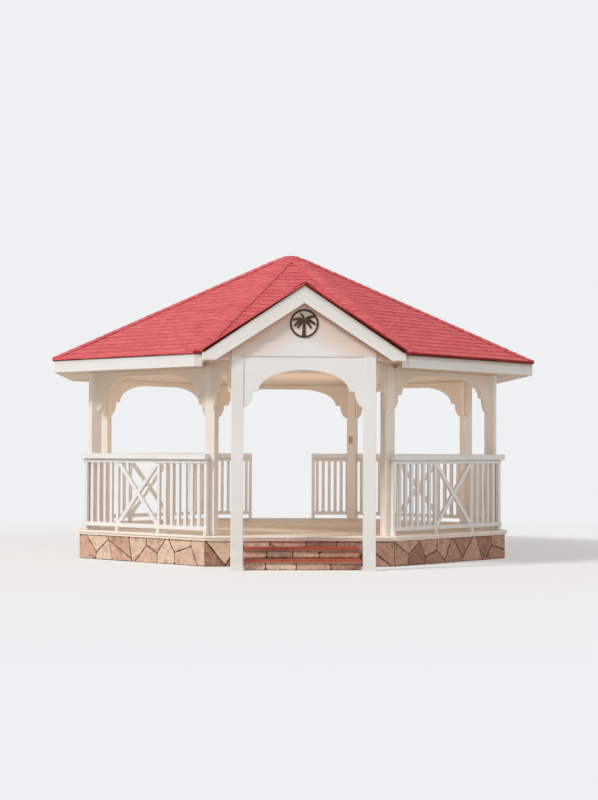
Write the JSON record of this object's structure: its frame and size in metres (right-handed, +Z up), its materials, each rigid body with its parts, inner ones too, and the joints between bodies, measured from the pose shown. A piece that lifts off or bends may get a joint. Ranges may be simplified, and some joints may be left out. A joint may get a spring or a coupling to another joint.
{
  "type": "gazebo",
  "caption": "Open octagonal garden gazebo with scalloped arch panels, braced railings, a hipped shingle roof and a gabled entrance porch on a stone plinth.",
  "frame": {"origin": "centre of the octagon on the ground, in the flat underside of the plinth", "axes": "+Z up; the entrance porch faces -Y; +X is to the right of somebody facing the porch"},
  "size_m": [6.1474, 6.5924, 3.9909],
  "materials": {
    "white_paint": "off-white gloss paint on timber",
    "deck_paint": "painted concrete",
    "plinth_stone": "irregular stone facing",
    "red_tile": "unglazed tile",
    "red_shingle": "mineral-surfaced shingles on boards",
    "dark_bronze": "dark bronze paint"
  },
  "bodies": {
    "root": {"stone_plinth": "plinth_stone", "floor_deck": "deck_paint", "entrance_steps": "plinth_stone", "step_treads": "red_tile", "post_front_left": "white_paint", "post_front_right": "white_paint", "post_left_front": "white_paint", "post_right_front": "white_paint", "post_left_back": "white_paint", "post_right_back": "white_paint", "post_back_left": "white_paint", "post_back_right": "white_paint", "porch_post_left": "white_paint", "porch_post_right": "white_paint", "arch_left_front": "white_paint", "arch_left": "white_paint", "arch_left_back": "white_paint", "arch_back": "white_paint", "arch_right_back": "white_paint", "arch_right": "white_paint", "arch_right_front": "white_paint", "arch_porch_front": "white_paint", "arch_porch_left": "white_paint", "arch_porch_right": "white_paint", "railing_left_front": "white_paint", "railing_left": "white_paint", "railing_left_back": "white_paint", "railing_right_back": "white_paint", "railing_right": "white_paint", "railing_right_front": "white_paint", "railing_back_left": "white_paint", "railing_back_right": "white_paint", "eave_fascia": "white_paint", "porch_fascia_left": "white_paint", "porch_fascia_right": "white_paint", "gable_wall": "white_paint", "barge_board_left": "white_paint", "barge_board_right": "white_paint", "ceiling": "white_paint", "porch_ceiling": "white_paint", "palm_medallion": "dark_bronze", "main_roof": "red_shingle", "roof_cap": "red_shingle", "porch_roof": "red_shingle"}
  },
  "joints": []
}
